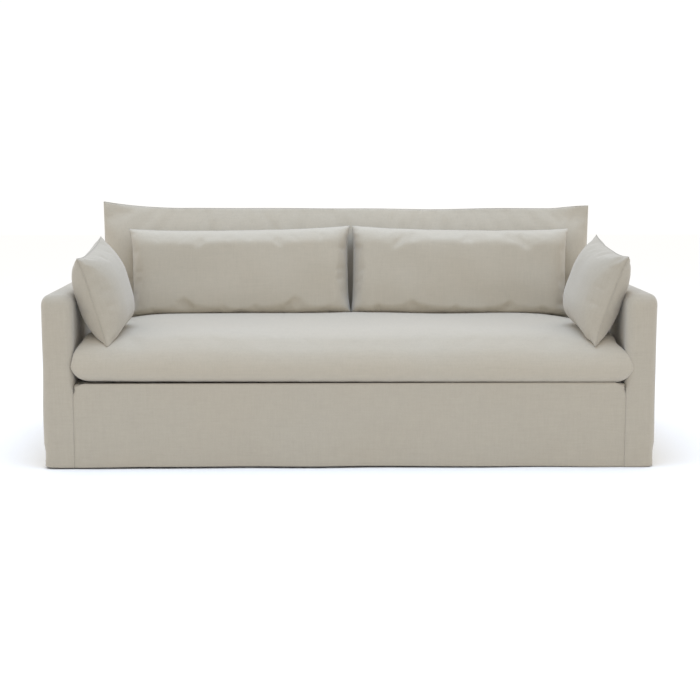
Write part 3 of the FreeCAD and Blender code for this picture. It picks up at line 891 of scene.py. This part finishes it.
def arm_cover(side):
    """One arm: outside, top, inside and front in one wrap, open below and behind. Its inner edge is square
    below the deck and rounded above."""
    hand = "left" if side < 0 else "right"
    low = np.array([ARM_IN, FRONT, HEM])
    high = np.array([ARM_OUT, REAR, ARM_TOP])
    spacing = 0.015
    xs = stations(low[0], high[0], ARM_ROUND_IN, ARM_ROUND_OUT, spacing)
    ys = stations(low[1], high[1], ARM_ROUND_IN, 0.0, spacing)
    zs = stations(low[2], high[2], HEM_BAND, ARM_ROUND_TOP, spacing)
    points, faces = wrap_faces(xs, ys, zs, low, high, DECK - 0.05)
    x, y, z = points.T
    middle = (low[0] + high[0]) / 2.0
    inner = x < middle
    inner_round = np.maximum(ARM_ROUND_IN * smooth((z - DECK + 0.043) / 0.045), 1e-5)
    turn = np.where(inner, inner_round, ARM_ROUND_OUT)
    radius = np.stack([turn, turn, np.full(len(points), ARM_ROUND_TOP)], axis=1)
    core_x = np.clip(x, low[0] + np.where(inner, turn, 0.0), high[0] - np.where(inner, 0.0, turn))
    core = np.stack([core_x, np.maximum(y, low[1] + turn), np.minimum(z, high[2] - ARM_ROUND_TOP)], axis=1)
    points = rounded(points, core, radius)
    forward = np.minimum(points[:, 1] - low[1] - 0.05, 0.0)
    outward = unit(np.stack([points[:, 0] - middle, forward, 0.0 * points[:, 2]], axis=1))
    outward *= smooth((points[:, 0] - low[0] + 0.002) / 0.02)[:, None]
    flare = ARM_FLARE[side] * smooth((0.45 - z) / 0.30) - ARM_FOOT * smooth((0.088 - z) / 0.03)
    points = points + outward * np.stack([flare, 0.3 * flare, 0.0 * flare], axis=1)
    points[:, 0] *= side
    outward[:, 0] *= side
    points = drape(points, outward, seed=75 + side, swing=ARM_SWING)
    if side > 0:
        faces = [face[::-1] for face in faces]
    piece = make_piece(hand + "_arm_cover", points, faces, cover_linen)
    weld = piece.modifiers.new("weld", "WELD")
    weld.merge_threshold = 0.0004
    thicken(piece)
    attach(piece, "sofa_frame")
    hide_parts("slipcover_%s_arm" % hand, hand + "_arm_foam")


SKIRT_HALF = ARM_IN + 0.0045    # half the front panel's width
SKIRT_LIP = 0.009               # the radius of its turn over the deck's edge
SKIRT_CLOTH = 0.0022
SKIRT_TOP_SWELL = 0.0055        # how far its top edge stands above the deck
SKIRT_TOP_FALL = 0.0105         # how much lower the edge lies at its ends
SLIT_FOOT = 0.262               # the height where each slit starts
SLIT_OPENING = 0.0095           # how far the corner draws in sideways, and back
SLIT_CURL = 0.0060
DECK_TUCK = -0.43               # how far back the front panel runs on over the deck


def front_skirt():
    """The panel under the seat: over the front lip of the deck and down to the hem, with an open slit at the
    top of each side where its corner curls in."""
    ends = np.linspace(0.94, SKIRT_HALF, 14)
    xs = np.unique(np.concatenate([np.linspace(-SKIRT_HALF, SKIRT_HALF, 161), ends, -ends]))
    arc = np.linspace(0.0, math.pi / 2.0, 6)[1:]
    hem = np.linspace(HEM, HEM + HEM_BAND + 0.001, 6)
    down = np.concatenate([hem, np.linspace(0.045, DECK - SKIRT_LIP, 24)])
    lip_ys = FRONT + SKIRT_LIP * (1.0 - np.cos(arc))
    lip_zs = DECK - SKIRT_LIP + SKIRT_LIP * np.sin(arc)
    ys = np.concatenate([np.full(len(down), FRONT), lip_ys, [FRONT + 0.02, DECK_TUCK]])
    zs = np.concatenate([down, lip_zs, [DECK, DECK]])
    x, y = np.meshgrid(xs, ys, indexing="ij")
    z = np.meshgrid(xs, zs, indexing="ij")[1]
    points = np.stack([x.ravel(), y.ravel() - 0.0006, z.ravel()], axis=1)
    from_side = SKIRT_HALF - np.abs(points[:, 0])
    outward = np.zeros(points.shape)
    outward[:, 1] = -smooth(from_side / 0.03) * (points[:, 1] < FRONT + 0.003)
    points = drape(points, outward, seed=82, swing=HEM_WAVES)
    open_part = smooth((points[:, 2] - SLIT_FOOT) / 0.020)
    points[:, 0] -= np.sign(points[:, 0]) * SLIT_OPENING * open_part * near(from_side, 0.035)
    points[:, 1] += SLIT_CURL * open_part * near(from_side, 0.012)
    lip_part = smooth((points[:, 2] - DECK + 0.02) / 0.02) * smooth((FRONT + 0.016 - points[:, 1]) / 0.008)
    points[:, 2] += lip_part * (SKIRT_TOP_SWELL - SKIRT_TOP_FALL * near(from_side, 0.05))
    piece = make_piece("front_skirt", points, grid_faces(np.arange(x.size).reshape(x.shape)), cover_linen)
    thicken(piece, SKIRT_CLOTH)
    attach(piece, "sofa_frame")
    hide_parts("slipcover_front")


def front_wadding():
    """The padding behind the front panel, its ends rounded back from the slits."""
    low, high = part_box("front_padding")
    half = high[0] - 0.014
    panels = Panels(140, 14)
    from_side = (1.0 - np.abs(panels.u)) * half
    from_top = (1.0 - np.abs(panels.v)) * (high[2] - low[2]) / 2.0
    middle = (low[1] + high[1]) / 2.0
    depth = (high[1] - low[1]) / 2.0 * swell(from_side / 0.010, 0.5) * swell(from_top / 0.008, 0.5)
    z = (low[2] + high[2]) / 2.0 + panels.v * (high[2] - low[2]) / 2.0
    points = np.stack([panels.u * half, middle - panels.side * depth, z], axis=1)
    piece = make_piece("front_wadding", points, panels.faces, FRAME_MATERIALS["wadding"])
    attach(piece, "sofa_frame")
    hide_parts("front_padding")


def front_seams():
    """The seam below each slit, where the front panel joins the arm's."""
    z = np.linspace(HEM + 0.001, SLIT_FOOT, 40)
    for hand, side in (("left", -1), ("right", 1)):
        waver = 0.0012 * ripple(np.stack([z, z, z], axis=1), wavelength=0.12, seed=87 + side)
        x = side * (SKIRT_HALF + 0.001) + waver
        path = np.stack([x, np.full(len(z), FRONT - 0.0012), z + hem_lift(x, z)], axis=1)
        seam = ribbon(hand + "_front_seam", path, 0.0012, seam_linen, flat=1.6)
        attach(seam, "sofa_frame")


def rear_skirt():
    """The outside back panel, as wide as the sofa, from the arms' height to the hem."""
    xs = np.linspace(-ARM_OUT, ARM_OUT, 181)
    hem = np.linspace(HEM, HEM + HEM_BAND + 0.001, 6)
    zs = np.concatenate([hem, np.linspace(0.045, ARM_TOP - 0.004, 46)])
    x, z = np.meshgrid(xs, zs, indexing="ij")
    points = np.stack([x.ravel(), np.full(x.size, REAR_FACE), z.ravel()], axis=1)
    corner = near(ARM_OUT - np.abs(points[:, 0]), 0.012)
    points[:, 1] -= 0.004 * corner
    outward = np.zeros(points.shape)
    outward[:, 1] = 1.0 - corner
    points = drape(points, outward, seed=92, swing=HEM_WAVES)
    faces = [face[::-1] for face in grid_faces(np.arange(x.size).reshape(x.shape))]
    piece = make_piece("rear_skirt", points, faces, cover_linen)
    thicken(piece)
    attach(piece, "sofa_frame")
    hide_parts("slipcover_rear")


def deck_cloth():
    """The cloth that the seat cushion lies on, between the arms."""
    xs = np.linspace(0.002 - ARM_IN, ARM_IN - 0.002, 120)
    ys = np.linspace(DECK_TUCK, BACK_LOW[1] - 0.001, 50)
    x, y = np.meshgrid(xs, ys, indexing="ij")
    points = np.stack([x.ravel(), y.ravel(), np.full(x.size, DECK)], axis=1)
    points[:, 2] += 0.0004 * ripple(points, wavelength=0.16, seed=95)
    piece = make_piece("deck_cloth", points, grid_faces(np.arange(x.size).reshape(x.shape)), cover_linen)
    thicken(piece)
    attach(piece, "sofa_frame")
    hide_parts("slipcover_deck")


# The cushions rest on the seat and the back, so those two come first.
back = back_cover()
seat = seat_cushion()
seat_tree = tree_of(seat)
back_tree = tree_of(back)
for hand in ("left", "right"):
    back_cushion(hand, seat_tree, back_tree)
    small_pillow(hand, seat_tree)
for side in (-1, 1):
    arm_cover(side)
front_wadding()
front_skirt()
front_seams()
rear_skirt()
deck_cloth()


# ---------------------------------------------------------------- stage, light and camera

FLOOR_LEVEL = 0.97
WORLD_COLOUR = (1.0, 0.985, 0.965)
WORLD_STRENGTH = 1.04
OVERHEAD_PLACE = (-0.1, -0.5, 3.9)
OVERHEAD_TARGET = (0.0, 0.0, 0.4)
OVERHEAD_SIDE = 2.4
OVERHEAD_POWER = 82.0
OVERHEAD_COLOUR = (0.45, 0.66, 1.0)
CAMERA_PLACE = (-0.084, -5.437, 1.130)
CAMERA_DOWN = 8.03      # degrees below level
CAMERA_RIGHT = 0.957    # degrees to the right of straight back
LENS = 72.0
SENSOR = 36.0


def stage():
    material, _, _, shader = new_material("floor_white", 0.95, specular=0.0)
    shader.inputs["Base Color"].default_value = (FLOOR_LEVEL, FLOOR_LEVEL, FLOOR_LEVEL, 1.0)
    corners = [(-14, -9, 0), (14, -9, 0), (14, 14, 0), (-14, 14, 0)]
    floor = make_piece("floor", corners, [(0, 1, 2, 3)], material)


def soft_light(name, place, target, side, power, colour):
    data = bpy.data.lights.new(name, "AREA")
    data.shape = "RECTANGLE"
    data.size = side
    data.size_y = side
    data.energy = power
    data.color = colour
    light = bpy.data.objects.new(name, data)
    light.location = place
    light.rotation_euler = (Vector(target) - Vector(place)).to_track_quat("-Z", "Y").to_euler()
    bpy.context.scene.collection.objects.link(light)


def camera():
    data = bpy.data.cameras.new("camera")
    data.lens = LENS
    data.sensor_width = SENSOR
    eye = bpy.data.objects.new("camera", data)
    eye.location = CAMERA_PLACE
    eye.rotation_euler = Euler((math.radians(90.0 - CAMERA_DOWN), 0.0, math.radians(-CAMERA_RIGHT)))
    bpy.context.scene.collection.objects.link(eye)
    bpy.context.scene.camera = eye


def studio():
    """Even light from all round, and one soft cool light from above."""
    world = bpy.data.worlds.new("studio")
    world.use_nodes = True
    background = world.node_tree.nodes["Background"]
    background.inputs["Color"].default_value = (*WORLD_COLOUR, 1.0)
    background.inputs["Strength"].default_value = WORLD_STRENGTH
    bpy.context.scene.world = world
    bpy.context.scene.view_settings.view_transform = "Standard"
    soft_light("overhead", OVERHEAD_PLACE, OVERHEAD_TARGET, OVERHEAD_SIDE, OVERHEAD_POWER, OVERHEAD_COLOUR)


stage()
studio()
camera()
